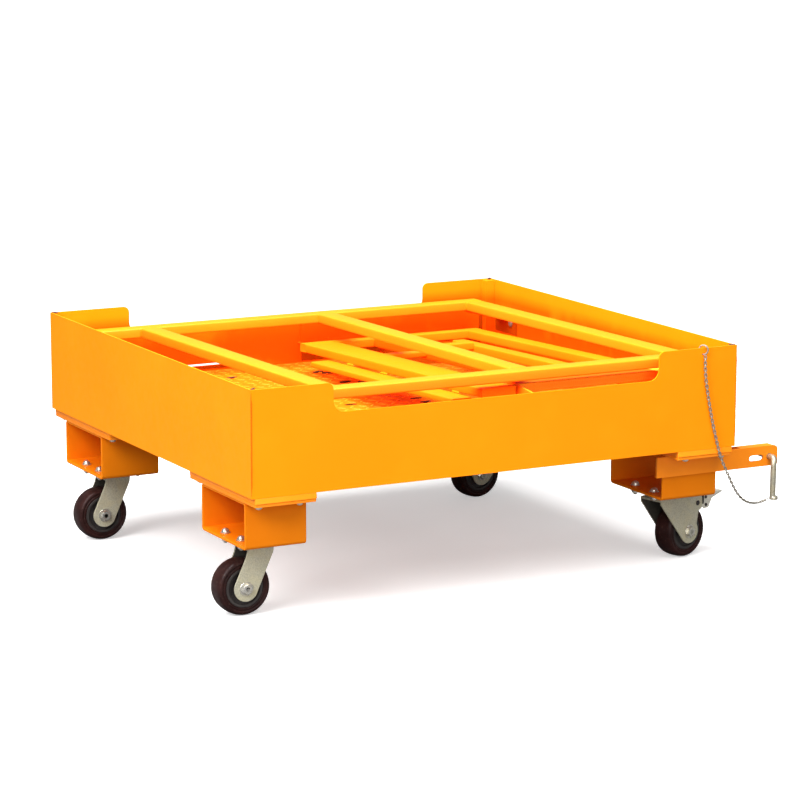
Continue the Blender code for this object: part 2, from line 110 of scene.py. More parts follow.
def about(pivot, slope):
    """Tray coordinates to the object's frame, turned about a pivot line along x."""
    return TRAY @ Matrix.Translation(pivot) @ Matrix.Rotation(slope, 4, "X") @ Matrix.Translation(-pivot)


COVER = about(COVER_HINGE, COVER_SLOPE)
SIDE = about(SIDE_HINGE, SIDE_SLOPE)


# ---------------------------------------------------------------- camera
def set_camera():
    """Camera at the photograph's angle."""
    flat = math.cos(CAMERA_ELEVATION)
    back = Vector((
        math.sin(CAMERA_AZIMUTH) * flat, -math.cos(CAMERA_AZIMUTH) * flat, math.sin(CAMERA_ELEVATION)
    ))
    level = Vector((math.cos(CAMERA_AZIMUTH), math.sin(CAMERA_AZIMUTH), 0))
    over = back.cross(level)
    right = level * math.cos(CAMERA_ROLL) + over * math.sin(CAMERA_ROLL)
    up = over * math.cos(CAMERA_ROLL) - level * math.sin(CAMERA_ROLL)
    camera = bpy.data.objects.new("camera", bpy.data.cameras.new("camera"))
    camera.data.sensor_width = 36
    camera.data.lens = CAMERA_LENS
    camera.data.clip_end = 200
    pose = Matrix((right, up, back)).transposed().to_4x4()
    camera.matrix_world = Matrix.Translation(OFFSET + CAMERA_PLACE) @ pose
    bpy.context.scene.collection.objects.link(camera)
    bpy.context.scene.camera = camera


set_camera()


# ---------------------------------------------------------------- materials
class Shader:
    """A material's node tree with short ways to add nodes."""

    def __init__(self, name):
        self.material = bpy.data.materials.new(name)
        self.material.use_nodes = True
        self.tree = self.material.node_tree
        self.bsdf = self.tree.nodes["Principled BSDF"]
        self.where = self.add("ShaderNodeTexCoord").outputs["Object"]

    def add(self, kind, inputs=None, **settings):
        node = self.tree.nodes.new(kind)
        for key, value in settings.items():
            setattr(node, key, value)
        for key, value in (inputs or {}).items():
            self.put(node.inputs[key], value)
        return node

    def put(self, socket, value):
        if isinstance(value, bpy.types.NodeSocket):
            self.tree.links.new(value, socket)
        else:
            socket.default_value = value

    def noise(self, scale, detail=3.0, rough=0.5, distort=0.0):
        values = {"Vector": self.where, "Scale": scale, "Detail": detail}
        values.update({"Roughness": rough, "Distortion": distort})
        return self.add("ShaderNodeTexNoise", values).outputs["Fac"]

    def cells(self, scale):
        return self.add("ShaderNodeTexVoronoi", {"Vector": self.where, "Scale": scale}).outputs[0]

    def ramp(self, value, low, high, to=(0.0, 1.0)):
        values = {0: value, 1: low, 2: high, 3: to[0], 4: to[1]}
        return self.add("ShaderNodeMapRange", values, clamp=True).outputs[0]

    def mix(self, share, first, second):
        node = self.add("ShaderNodeMix", data_type="RGBA")
        for index, value in ((0, share), (6, first), (7, second)):
            self.put(node.inputs[index], (*value, 1) if isinstance(value, tuple) else value)
        return node.outputs[2]

    def math(self, kind, first, second):
        return self.add("ShaderNodeMath", {0: first, 1: second}, operation=kind).outputs[0]

    def inside_tray(self):
        """Mask of painted shade: 1 on the walls' inner faces below the guards, 0 outside and at the top edge.
        """
        place = self.add("ShaderNodeSeparateXYZ", {0: self.where}).outputs
        share = self.ramp(place[2], OFFSET.z + 0.182, OFFSET.z + 0.158)
        for axis, size in ((0, TRAY_L), (1, TRAY_W)):
            middle = OFFSET[axis] + size / 2
            away = self.math("ABSOLUTE", self.math("SUBTRACT", place[axis], middle), 0)
            share = self.math("MULTIPLY", share, self.math("LESS_THAN", away, size / 2 - 0.8 * SHEET))
        return share

    def under_guard(self):
        """Share of painted shade on the floor below the far right part of the folded side guard."""
        place = self.add("ShaderNodeSeparateXYZ", {0: self.where}).outputs
        along = self.math("SUBTRACT", place[1], OFFSET.y + SIDE_HINGE.y)
        drop = self.math("MULTIPLY", along, math.tan(SIDE_SLOPE))
        above = self.math("SUBTRACT", self.math("SUBTRACT", place[2], drop), OFFSET.z + SIDE_TOP)
        share = self.math("MULTIPLY", self.ramp(above, -0.020, -0.036), 0.55)
        share = self.math("MULTIPLY", share, self.ramp(place[0], OFFSET.x + 0.58, OFFSET.x + 0.72))
        return self.math("MULTIPLY", share, self.ramp(place[1], OFFSET.y + 0.60, OFFSET.y + 0.80))

    def bump(self, height, distance, strength=1.0, normal=None):
        values = {"Height": height, "Distance": distance, "Strength": strength}
        if normal:
            values["Normal"] = normal
        return self.add("ShaderNodeBump", values).outputs[0]

    def set(self, **values):
        for key, value in values.items():
            key = key.replace("_", " ")
            value = (*value, 1) if isinstance(value, tuple) else value
            self.put(self.bsdf.inputs[key], value)
        return self.material


def make_paint(name, base, deep, pale, rough, where=None, tint=0.30, sheen=0.07):
    """Powder coat: orange peel, mottling, scuffs, dust; painted shade, redder in hollows and low in the tray.
    """
    s = Shader(name)
    mottle = s.ramp(s.noise(3.5, 4, 0.6), 0.35, 0.68)
    colour = s.mix(mottle, base, deep)
    # painted shade: ambient occlusion mixes in the redder shade colour in hollows
    open_sky = s.add("ShaderNodeAmbientOcclusion", {"Distance": 0.22}, samples=8).outputs["AO"]
    shade = s.math("MULTIPLY", s.ramp(open_sky, 0.20, 0.75, (1.0, 0.0)), tint)
    colour = s.mix(shade, colour, PAINTED_SHADE_RED)
    # painted shade: the walls' inner faces turn redder below the guards
    if where == "wall":
        colour = s.mix(s.inside_tray(), colour, PAINTED_SHADE_RED)
    # painted shade: darker on the floor under the folded side guard
    elif where == "floor":
        colour = s.mix(s.under_guard(), colour, PAINTED_SHADE_DEEP)
    cloud = s.ramp(s.noise(11, 3), 0.5, 0.75, (0, 0.35))
    colour = s.mix(cloud, colour, pale)
    scuff = s.ramp(s.noise(38, 6, 0.7, distort=0.6), 0.66, 0.74)
    colour = s.mix(s.math("MULTIPLY", scuff, 0.22), colour, pale)
    dull = s.ramp(s.noise(60, 3), 0.3, 0.8, (rough - 0.05, rough + 0.08))
    dull = s.math("ADD", dull, s.math("MULTIPLY", scuff, 0.12))
    peel = s.bump(s.noise(520, 2), 0.00045, 0.30)
    wave = s.bump(s.noise(26, 2), 0.0016, 0.10, peel)
    return s.set(Base_Color=colour, Roughness=dull, Normal=wave, Specular_IOR_Level=sheen)


def make_zinc(name, light, dark, tint, rough, metallic):
    """Zinc plate: spangle, streaks and a faint yellow bloom."""
    s = Shader(name)
    spangle = s.ramp(s.cells(420), 0.15, 0.75)
    colour = s.mix(spangle, light, dark)
    bloom = s.ramp(s.noise(28, 5, 0.65, distort=0.8), 0.45, 0.72)
    colour = s.mix(s.math("MULTIPLY", bloom, 0.55), colour, tint)
    stain = s.ramp(s.noise(95, 5, 0.7), 0.62, 0.74)
    colour = s.mix(s.math("MULTIPLY", stain, 0.45), colour, (0.10, 0.085, 0.06))
    dull = s.ramp(s.noise(70, 4), 0.3, 0.75, (rough - 0.08, rough + 0.16))
    grain = s.bump(s.noise(900, 3), 0.0002, 0.35)
    return s.set(Base_Color=colour, Roughness=dull, Normal=grain, Metallic=metallic)


def make_tyre():
    """Polyurethane tread: dark maroon, turned grooves, dust where it rolls."""
    s = Shader("tyre_polyurethane")
    cloud = s.ramp(s.noise(24, 4, 0.6), 0.35, 0.7)
    colour = s.mix(cloud, (0.017, 0.0060, 0.0055), (0.036, 0.0125, 0.0110))
    dust = s.ramp(s.noise(150, 5, 0.7), 0.56, 0.72)
    colour = s.mix(s.math("MULTIPLY", dust, 0.22), colour, (0.16, 0.10, 0.08))
    dull = s.ramp(s.noise(60, 3), 0.3, 0.75, (0.28, 0.46))
    pits = s.bump(s.noise(450, 3), 0.0004, 0.25)
    return s.set(Base_Color=colour, Roughness=dull, Normal=pits, Specular_IOR_Level=0.13)


def make_dark(name, base, second, rough):
    """Dark material with a grainy skin: cast or moulded parts, weld burns, and painted shade."""
    s = Shader(name)
    colour = s.mix(s.ramp(s.noise(45, 4, 0.6), 0.35, 0.7), base, second)
    dull = s.ramp(s.noise(90, 3), 0.3, 0.75, (rough - 0.08, rough + 0.12))
    grain = s.bump(s.noise(700, 3), 0.0003, 0.4)
    return s.set(Base_Color=colour, Roughness=dull, Normal=grain, Specular_IOR_Level=0.4)


PAINTED_SHADE_RED = (0.86, 0.105, 0.0006)  # painted shade: redder colour for hollows and low inside the tray
PAINTED_SHADE_DEEP = (0.150, 0.016, 0.0008)  # painted shade on the floor under the folded guard
PAINT = make_paint(
    "powder_coat_orange", (0.98, 0.268, 0.0060), (0.95, 0.252, 0.0050),
    (1.0, 0.290, 0.010), 0.40, sheen=0.24
)
# painted shade: a darker copy of the paint for the side guard's bars, which lie under the cover guard
SHADED_SIDE_PAINT = make_paint(
    "powder_coat_side_painted_shade", (0.98, 0.220, 0.0030), (0.94, 0.200, 0.0024),
    (1.0, 0.245, 0.005), 0.44, tint=0.12, sheen=0.10
)
# painted light: a paler copy of the paint for the side guard's bottom rail, standing for light on its shaded
# front face
LIT_RAIL_PAINT = make_paint(
    "powder_coat_rail_painted_light", (1.0, 0.520, 0.030), (0.98, 0.480, 0.022), (1.0, 0.56, 0.04), 0.44, tint=0.0
)
WALL = make_paint(
    "powder_coat_wall", (0.98, 0.275, 0.0030), (0.95, 0.258, 0.0024), (1.0, 0.300, 0.005), 0.44, "wall"
)
# painted shade: a darker copy of the paint for the fork pockets under the tray, with more shade in hollows
SHADED_POCKET_PAINT = make_paint(
    "powder_coat_pocket_painted_shade", (0.80, 0.205, 0.0030), (0.74, 0.184, 0.0022),
    (0.84, 0.225, 0.005), 0.48, tint=0.35
)
TREAD = make_paint(
    "powder_coat_tread", (0.95, 0.250, 0.010), (0.88, 0.205, 0.005), (0.98, 0.28, 0.03), 0.46, "floor", 0.15
)
# painted shade: a darker copy of the floor paint for the sheet between the raised bars and for the side rest
SHADED_BED_PAINT = make_paint(
    "powder_coat_bed_painted_shade", (0.82, 0.175, 0.003), (0.70, 0.135, 0.002), (0.88, 0.20, 0.006), 0.52, "floor", 0.20
)
SEAM = make_paint("powder_coat_weld", (0.95, 0.250, 0.0030), (0.84, 0.200, 0.0025), (0.98, 0.28, 0.008), 0.46)
# painted shade: dark red-brown for shadows and for the shaded catch plate
PAINTED_SHADE_DARK = make_paint(
    "painted_shade_dark", (0.30, 0.045, 0.0010), (0.20, 0.030, 0.0008), (0.34, 0.05, 0.002), 0.60, sheen=0.02
)
# painted shade: darker orange for the shaded corner line and rail strip
PAINTED_SHADE_MID = make_paint(
    "painted_shade_mid", (0.66, 0.130, 0.0010), (0.56, 0.100, 0.0008), (0.70, 0.14, 0.002), 0.55
)
ZINC = make_zinc("zinc_fork", (0.62, 0.59, 0.45), (0.46, 0.44, 0.33), (0.62, 0.55, 0.32), 0.46, 0.35)
BRIGHT = make_zinc("zinc_bright", (0.78, 0.76, 0.70), (0.60, 0.59, 0.54), (0.74, 0.66, 0.44), 0.27, 0.85)
PIN_ZINC = make_zinc("zinc_pin", (0.56, 0.52, 0.40), (0.38, 0.35, 0.27), (0.56, 0.46, 0.25), 0.30, 0.70)
PALE_ZINC = make_zinc("zinc_pedal", (0.84, 0.82, 0.72), (0.66, 0.64, 0.55), (0.80, 0.74, 0.54), 0.42, 0.20)
LINK = make_zinc("zinc_chain", (0.34, 0.32, 0.27), (0.22, 0.205, 0.17), (0.33, 0.28, 0.18), 0.45, 0.40)
TYRE = make_tyre()
CORE = make_dark("wheel_core_paint", (0.026, 0.022, 0.022), (0.050, 0.042, 0.038), 0.45)
FORK_INSIDE_SHADE = make_dark("fork_inside_painted_shade", (0.060, 0.052, 0.040), (0.030, 0.026, 0.020), 0.6)
RUBBER = make_dark("brake_rubber", (0.010, 0.010, 0.010), (0.022, 0.020, 0.019), 0.6)
BURN = make_dark("weld_burn", (0.085, 0.030, 0.006), (0.030, 0.013, 0.005), 0.55)
# painted shade: dark brown for the drains' cut edges and the floor's dark spots
DRAIN_SHADE_PAINT = make_dark("drain_painted_shade", (0.060, 0.016, 0.003), (0.030, 0.009, 0.002), 0.6)


# ---------------------------------------------------------------- mesh helpers
def piece(name, bm, material, body, place=TRAY, replaces=(), sharp=35, bevel=0.0, segments=2):
    """Finish a bmesh as a visible piece that rides on a body."""
    bmesh.ops.recalc_face_normals(bm, faces=bm.faces)
    mesh = bpy.data.meshes.new(name)
    bm.to_mesh(mesh)
    bm.free()
    mesh.transform(place)
    materials = material if isinstance(material, list) else [material]
    for item in materials:
        mesh.materials.append(item)
    mesh.shade_smooth()
    mesh.set_sharp_from_angle(angle=math.radians(sharp))
    obj = bpy.data.objects.new(name, mesh)
    bpy.context.scene.collection.objects.link(obj)
    if bevel:
        round_edges(obj, bevel, segments, sharp)
    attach(obj, body)
    if replaces:
        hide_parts(*replaces)
    return obj


def round_edges(obj, width, segments, angle):
    """Small rounding on every edge sharper than the angle."""
    mod = obj.modifiers.new("edges", "BEVEL")
    mod.width = width
    mod.segments = segments
    mod.limit_method = "ANGLE"
    mod.angle_limit = math.radians(angle)
    mod.harden_normals = True


def skin(bm, rings, caps=True):
    """Quads between closed rings of points, all of one length, with optional end caps."""
    rows = [[bm.verts.new(p) for p in ring] for ring in rings]
    for first, second in zip(rows, rows[1:]):
        join(bm, first, second)
    if caps:
        bm.faces.new(rows[0][::-1])
        bm.faces.new(rows[-1])
    return rows


def join(bm, first, second):
    """Quads between two closed rows of vertices."""
    count = len(first)
    for i in range(count):
        j = (i + 1) % count
        bm.faces.new((first[i], first[j], second[j], second[i]))


def circle(centre, side, other, r, count, flat=1.0):
    """Points round a centre, in the plane of two unit vectors; flat squeezes it along the second."""
    angles = [2 * math.pi * k / count for k in range(count)]
    return [centre + side * (r * math.cos(a)) + other * (r * flat * math.sin(a)) for a in angles]


def lay(axis, u, v, w):
    """Point from section coordinates (u, v) and a place w along an axis."""
    return {"X": Vector((w, u, v)), "Y": Vector((u, w, v)), "Z": Vector((u, v, w))}[axis]


def round_rect(u0, v0, u1, v1, r, steps=4):
    """Rounded rectangle, counter-clockwise."""
    points = []
    centres = ((u1 - r, v1 - r), (u0 + r, v1 - r), (u0 + r, v0 + r), (u1 - r, v0 + r))
    for turn, (cu, cv) in enumerate(centres):
        for k in range(steps + 1):
            a = math.radians(90 * turn + 90 * k / steps)
            points.append((cu + r * math.cos(a), cv + r * math.sin(a)))
    return points


def tube(bm, lo, hi, axis, wall, r, lip=0.0006, plugged=False):
    """Drawn rectangular tube with round corners, edges eased by lip; its ends are open or plugged."""
    names = [n for n in "XYZ" if n != axis]
    u0, v0 = (lo["XYZ".index(n)] for n in names)
    u1, v1 = (hi["XYZ".index(n)] for n in names)
    a, b = lo["XYZ".index(axis)], hi["XYZ".index(axis)]
    inner_r = max(r - wall, 0.0006)

    def ring(shrink, w):
        corners = (u0 + shrink, v0 + shrink, u1 - shrink, v1 - shrink)
        return [lay(axis, u, v, w) for u, v in round_rect(*corners, max(r - shrink, inner_r))]

    rings = [ring(0, a + lip), ring(0, b - lip), ring(lip, b), ring(wall - lip, b), ring(wall, b - lip)]
    rings += [ring(wall, a + lip), ring(wall - lip, a), ring(lip, a)]
    rows = skin(bm, rings, caps=False)
    join(bm, rows[-1], rows[0])
    if plugged:
        for near, far in ((a + lip, a + lip + wall), (b - lip - wall, b - lip)):
            skin(bm, [ring(wall, near), ring(wall, far)])


def turned(bm, profile, place, steps=40, closed=False):
    """Surface of revolution; profile is (radius, height) along place's z axis. Zero radii close it."""
    rows = []
    for radius, height in profile:
        if radius < 1e-7:
            rows.append([bm.verts.new(place @ Vector((0, 0, height)))])
            continue
        ring = []
        for k in range(steps):
            a = 2 * math.pi * k / steps
            ring.append(bm.verts.new(place @ Vector((radius * math.cos(a), radius * math.sin(a), height))))
        rows.append(ring)
    if closed:
        rows.append(rows[0])
    for first, second in zip(rows, rows[1:]):
        for k in range(steps):
            j = (k + 1) % steps
            corners = [row[i % len(row)] for row, i in ((first, k), (first, j), (second, j), (second, k))]
            unique = list(dict.fromkeys(corners))
            if len(unique) > 2:
                bm.faces.new(unique)


def pointing(place, direction):
    """Matrix that puts z = 0 at a place, with +z along a direction."""
    return Matrix.Translation(place) @ Vector(direction).to_track_quat("Z", "Y").to_matrix().to_4x4()


def dome_bolt(bm, place, direction, r, tall):
    """Washer and a domed head."""
    washer = [(0, 0.0001), (r * 1.22, 0.0001), (r * 1.28, 0.0004), (r * 1.28, 0.0011)]
    washer += [(r * 1.20, 0.0015), (r, 0.0015)]
    rim = 0.0022
    angles = [math.radians(a) for a in range(15, 90, 15)]
    head = [(r * math.cos(a), rim + (tall - rim) * math.sin(a)) for a in angles]
    turned(bm, washer + [(r, rim)] + head + [(0, tall)], pointing(place, direction), 24)


def hexagon(bm, place, direction, across, tall, bolt_r, stub, turn=0.0):
    """Chamfered nut with the bolt's threaded end standing out of it."""
    spot = pointing(place, direction) @ Matrix.Rotation(turn, 4, "Z")
    big = across / math.sqrt(3)
    washer = [(0, 0), (big * 1.25, 0), (big * 1.3, 0.0004), (big * 1.25, 0.0012), (0, 0.0012)]
    turned(bm, washer, spot, 28)
    angles = [math.radians(60 * k) for k in range(6)]
    outline = [(big * math.cos(a), big * math.sin(a)) for a in angles]
    low = [spot @ Vector((u, v, 0.0010)) for u, v in outline]
    mid = [spot @ Vector((u, v, tall - 0.0008)) for u, v in outline]
    top = [spot @ Vector((u * 0.88, v * 0.88, tall)) for u, v in outline]
    skin(bm, [low, mid, top])
    rings = [(0, tall - 0.0005)]
    height = tall - 0.0004
    while height < tall + stub - 0.0006:
        rings += [(bolt_r, height), (bolt_r * 0.90, height + 0.0005)]
        height += 0.001
    rings += [(bolt_r * 0.82, tall + stub), (0, tall + stub)]
    turned(bm, rings, spot, 20)


def bead(bm, start, end, radius, seed=0, flat=0.75, normal=(0, 0, 1)):
    """Rippled weld bead along a line, its ends faded out."""
    start, end = Vector(start), Vector(end)
    length = (end - start).length
    along = (end - start).normalized()
    up = Vector(normal)
    up = (up - along * up.dot(along)).normalized()
    side = along.cross(up)
    count = max(8, int(length / 0.0022))
    rings = []
    for i in range(count + 1):
        t = i / count
        fade = min(1.0, 6 * min(t, 1 - t) + 0.25)
        ripple = 1 + 0.10 * math.sin(i * 2.4 + seed) + 0.12 * noise.noise(Vector((i * 0.31, seed, 0)))
        r = radius * fade * ripple
        drift = side * (0.25 * radius * noise.noise(Vector((i * 0.11, seed + 9, 0))))
        centre = start + (end - start) * t + drift
        rings.append(circle(centre, side, up, r, 8, flat))
    skin(bm, rings)


def arc(u, v, radius, start, end, steps):
    """Points along an arc, angles in degrees."""
    angles = [math.radians(start + (end - start) * i / steps) for i in range(steps + 1)]
    return [(u + radius * math.cos(a), v + radius * math.sin(a)) for a in angles]


def smooth_route(points, steps):
    """Points on one smooth curve through the given points."""
    knots = [Vector(p) for p in points]
    route = []
    for i in range(len(knots) - 1):
        before = knots[max(i - 1, 0)]
        after = knots[min(i + 2, len(knots) - 1)]
        for k in range(steps):
            t = k / steps
            start, end = knots[i], knots[i + 1]
            linear = (end - before) * t
            square = (2 * before - 5 * start + 4 * end - after) * t**2
            cubic = (3 * start - before - 3 * end + after) * t**3
            route.append(start + (linear + square + cubic) / 2)
    return route + [knots[-1]]


def rod(bm, points, radius, sides):
    """Round bar along points, with softened ends."""
    points = [Vector(p) for p in points]
    rings = []
    side = None
    count = len(points)
    for i, p in enumerate(points):
        along = (points[min(i + 1, count - 1)] - points[max(i - 1, 0)]).normalized()
        if side is None:
            side = along.orthogonal().normalized()
        side = (side - along * side.dot(along)).normalized()
        other = along.cross(side)
        if i == 0:
            rings.append(circle(p, side, other, radius * 0.80, sides))
            rings.append(circle(p + along * radius * 0.18, side, other, radius, sides))
        elif i == count - 1:
            rings.append(circle(p - along * radius * 0.18, side, other, radius, sides))
            rings.append(circle(p, side, other, radius * 0.80, sides))
        else:
            rings.append(circle(p, side, other, radius, sides))
    skin(bm, rings)


def loop(bm, centre, long, wide, wire, along, across, steps, sides):
    """Chain link or ring: a closed wire whose middle line is a slot with round ends."""
    centre, along, across = Vector(centre), Vector(along).normalized(), Vector(across)
    across = (across - along * across.dot(along)).normalized()
    normal = along.cross(across)
    r = wide / 2
    half = max(long / 2 - r, 0)
    rings = []
    for k in range(steps):
        a = 2 * math.pi * k / steps
        c, s = math.cos(a), math.sin(a)
        point = along * (r * c + math.copysign(half, c)) + across * (r * s)
        rings.append(circle(centre + point, along * c + across * s, normal, wire, sides))
    rows = skin(bm, rings, caps=False)
    join(bm, rows[-1], rows[0])


# ---------------------------------------------------------------- chain
def make_chain():
    """Oval links along the chain's path, each a quarter turn from the last, and the ring it hangs from."""
    route = [OFFSET + p for p in smooth_route(CHAIN_ROUTE, 3)]
    lengths = [0.0]
    for first, second in zip(route, route[1:]):
        lengths.append(lengths[-1] + (second - first).length)
    total = lengths[-1]
    count = int(total / LINK_PITCH)

    def at(distance):
        distance = min(max(distance, 0.0), total)
        i = max(k for k in range(len(route) - 1) if lengths[k] <= distance)
        share = (distance - lengths[i]) / (lengths[i + 1] - lengths[i])
        return route[i].lerp(route[i + 1], share), (route[i + 1] - route[i]).normalized()

    bm = bmesh.new()
    for k in range(count):
        spot, along = at(total * (k + 0.5) / count)
        flat = along.cross(Vector((0, 1, 0))).normalized()
        turned_by = Matrix.Rotation(math.radians(40 + 90 * (k % 2)), 3, along)
        loop(bm, spot + LINK_SHIFT, LINK_LONG, LINK_WIDE, LINK_WIRE, along, turned_by @ flat, 12, 6)
    chain = piece("chain_links", bm, LINK, "platform", Matrix.Identity(4), ["chain"], 60)
    bm = bmesh.new()
    across = (-math.sin(RING_TURN), math.cos(RING_TURN), 0)
    loop(bm, RING_CENTRE, 2 * RING_R, 2 * RING_R, RING_WIRE, (0, 0, 1), across, 48, 12)
    piece("wall_ring", bm, LINK, "platform", TRAY, ["chain_ring"], 60)


make_chain()


# ---------------------------------------------------------------- tray
def paint_cad(names, material, bevel, angle=40):
    """Carry CAD nodes over with a procedural material and eased edges."""
    for name in names:
        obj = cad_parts[name]
        obj.data.materials.clear()
        obj.data.materials.append(material)
        round_edges(obj, bevel, 2, angle)


def paint_floor():
    """Floor sheet, with the cut edges of its drains in shadow colour."""
    paint_cad(["floor_plate"], SHADED_BED_PAINT, 0.0004, angle=50)
    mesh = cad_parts["floor_plate"].data
    mesh.materials.append(DRAIN_SHADE_PAINT)
    middle = OFFSET + Vector((TRAY_L, TRAY_W, 0)) / 2
    for face in mesh.polygons:
        away = face.center - middle
        rim = max(abs(away.x) - TRAY_L / 2, abs(away.y) - TRAY_W / 2)
        face.material_index = int(abs(face.normal.z) < 0.5 and rim < -0.02)


def in_drain(x, y, margin):
    """Whether a point of the floor is over a drain."""
    for row in range(DRAIN_ROWS):
        shift = DRAIN_PITCH[0] / 2 if row % 2 else 0
        for column in range(5 if row % 2 else 6):
            if abs(x - DRAIN_PITCH[0] * (1 + column) - shift) < DRAIN_HALF[0] + margin:
                if abs(y - DRAIN_START - DRAIN_PITCH[1] * row) < DRAIN_HALF[1] + margin:
                    return True
    return False


def make_tread():
    """Raised bars of the tread plate, in pairs at right angles."""
    bm = bmesh.new()
    pitch = 0.0235
    long, wide, tall = 0.0105, 0.0034, 0.0013
    x0, x1, y0, y1 = 0.016, TRAY_L - 0.016, 0.016, TRAY_W - 0.026
    columns, rows = int((x1 - x0) / pitch), int((y1 - y0) / pitch)
    section = [(-1.0, 0.0), (-0.8, 0.62), (-0.4, 0.95), (0.4, 0.95), (0.8, 0.62), (1.0, 0.0)]
    outer = section + [(u, -v) for u, v in section[-2:0:-1]]
    for i in range(columns + 1):
        for j in range(rows + 1):
            x, y = x0 + i * pitch, y0 + j * pitch
            if in_drain(x, y, 0.008):
                continue
            a = math.radians(45 if (i + j) % 2 else -45)
            c, s = math.cos(a), math.sin(a)

            def point(u, v, z, x=x, y=y, c=c, s=s):
                return Vector((x + u * c - v * s, y + u * s + v * c, FLOOR_TOP + z))

            base = -0.0004
            low = [point(u * long, v * wide, base) for u, v in outer]
            mid = [point(u * long * 0.90, v * wide * 0.80, tall * 0.75) for u, v in outer]
            top = [point(u * long * 0.72, v * wide * 0.45, tall) for u, v in outer]
            skin(bm, [low, mid, top])
    piece("floor_tread", bm, TREAD, "platform", TRAY, sharp=60)


def make_seams():
    """Weld seams of the tray: corner joints and stiffener."""
    bm = bmesh.new()
    seed = 0
    top, low = WALL_H - 0.002, 0.002
    for x, out in ((SHEET / 2, -1), (TRAY_L - SHEET / 2, 1)):
        for y, face in ((0.0004, -1), (TRAY_W - 0.0004, 1)):
            r = 0.0024 if face < 0 else 0.0011
            start, end = (x, y - face * 0.0002, low), (x, y - face * 0.0002, top)
            bead(bm, start, end, r, seed, flat=0.35, normal=(0, face, 0))
            seed += 3
    for x in (SHEET + 0.0012, TRAY_L - SHEET - 0.0012):
        for y in (SHEET + 0.0012, TRAY_W - SHEET - 0.0012):
            sign = (1 if x < 0.5 else -1, 1 if y < 0.5 else -1, 0)
            bead(bm, (x, y, FLOOR_TOP + 0.002), (x, y, WALL_H - 0.004), 0.0028, seed, normal=sign)
            seed += 5
    for x in (0.585, 0.700, 0.815, 0.930):
        for z in (0.0940, 0.1500):
            start, end = (x - 0.016, TRAY_W - 0.0035, z), (x + 0.016, TRAY_W - 0.0035, z)
            bead(bm, start, end, 0.0018, seed, normal=(0, -1, 0))
            seed += 2
    # painted shade: a darker bead down the front left corner, for the thin gap in the joint
    crease = bmesh.new()
    start, end = (0.0004, 0.0001, 0.004), (0.0004, 0.0001, WALL_H - 0.004)
    bead(crease, start, end, 0.0011, seed, flat=0.9, normal=(-1, -1, 0))
    piece("corner_shade_line", crease, PAINTED_SHADE_MID, "platform", TRAY, sharp=70)
    piece("tray_welds", bm, SEAM, "platform", TRAY, sharp=70)

    bm = bmesh.new()
    edge = 0.0035
    spots = [(x, y) for y in (edge, TRAY_W - edge) for x in (edge, TRAY_L - edge)]
    for n, (x, y) in enumerate(spots):
        inward = Vector((1 if x < 0.5 else -1, 1 if y < 0.5 else -1, 0))
        start = Vector((x, y, WALL_H + 0.0004)) - inward * 0.0010
        bead(bm, start, start + inward * 0.010, 0.0030, 30 + n, flat=0.5)
    piece("corner_weld_burns", bm, BURN, "platform", TRAY, sharp=70)


# painted shade: places and turns of dark spots standing for shaded drain slots
FLOOR_SHADE_SPOTS = (
    (0.3605, 0.8669, 20), (0.4222, 0.9144, -25), (0.5529, 0.8472, 15), (0.5665, 0.8269, -20),
    (0.5515, 0.7167, 10), (0.5869, 0.6985, -15), (0.5975, 0.4438, 12),
)


def make_shade_spots():
    """Dark spots of painted shade on the floor, for shaded drain slots, flat on the sheet between the raised
    bars.
    """
    bm = bmesh.new()
    for x, y, angle in FLOOR_SHADE_SPOTS:
        spot = Matrix.Translation((x, y, FLOOR_TOP)) @ Matrix.Rotation(math.radians(angle), 4, "Z")
        outline = arc(0.007, 0, 0.0062, -90, 90, 8) + arc(-0.007, 0, 0.0062, 90, 270, 8)
        skin(bm, [[spot @ Vector((u, v, z)) for u, v in outline] for z in (-0.0002, 0.0015)])
    piece("floor_shade_spots", bm, DRAIN_SHADE_PAINT, "platform", TRAY)


def make_catch_and_shadows():
    """Catch plate with its screw on the right wall, dark with painted shade; painted shadow beside the corner
    post, at the back wall's foot and on the bar's lip.
    """
    wall = TRAY_L - SHEET
    # the catch plate's dark colour is painted shade
    bm = cube((wall - 0.0012, 0.856, 0.090), (wall - 0.0002, 0.952, 0.132))
    piece("catch_plate", bm, PAINTED_SHADE_DARK, "platform", TRAY, bevel=0.0003)
    # painted shadow: a thin dark sheet beside the corner post
    bm = cube((1.0150, 0.9725, 0.086), (1.0240, 0.9732, 0.132))
    piece("corner_shadow_strip", bm, PAINTED_SHADE_DARK, "platform", TRAY, bevel=0.0002)
    bm = bmesh.new()
    dome_bolt(bm, (wall - 0.0012, 0.884, 0.114), (-1, 0, 0), 0.0065, 0.0026)
    piece("catch_screw", bm, LINK, "platform", TRAY)
    back = TRAY_W - SHEET
    # painted shadow: dark strips along the foot of the back wall
    for tag, x0, x1, high in (("left", 0.238, 0.450, 0.0605), ("right", 0.578, 1.022, 0.0725)):
        bm = cube((x0, back - 0.0006, 0.0535), (x1, back - 0.0001, high))
        piece("back_joint_shadow_" + tag, bm, PAINTED_SHADE_DARK, "platform", TRAY)
    # painted shadow: a dark sheet on the lock bar's lip
    bm = cube((1.0780, 0.0480, -0.0182), (1.0960, 0.0660, -0.0179))
    piece("bar_lip_shadow", bm, PAINTED_SHADE_DARK, "platform", TRAY)


def at_corner(corners, tag):
    """Front left box carried to another corner of the tray."""
    lo, hi = list(corners[0]), list(corners[1])
    for axis, flip, size in zip((0, 1), CORNERS[tag], (TRAY_L, TRAY_W)):
        if flip:
            lo[axis], hi[axis] = size - hi[axis], size - lo[axis]
    return lo, hi


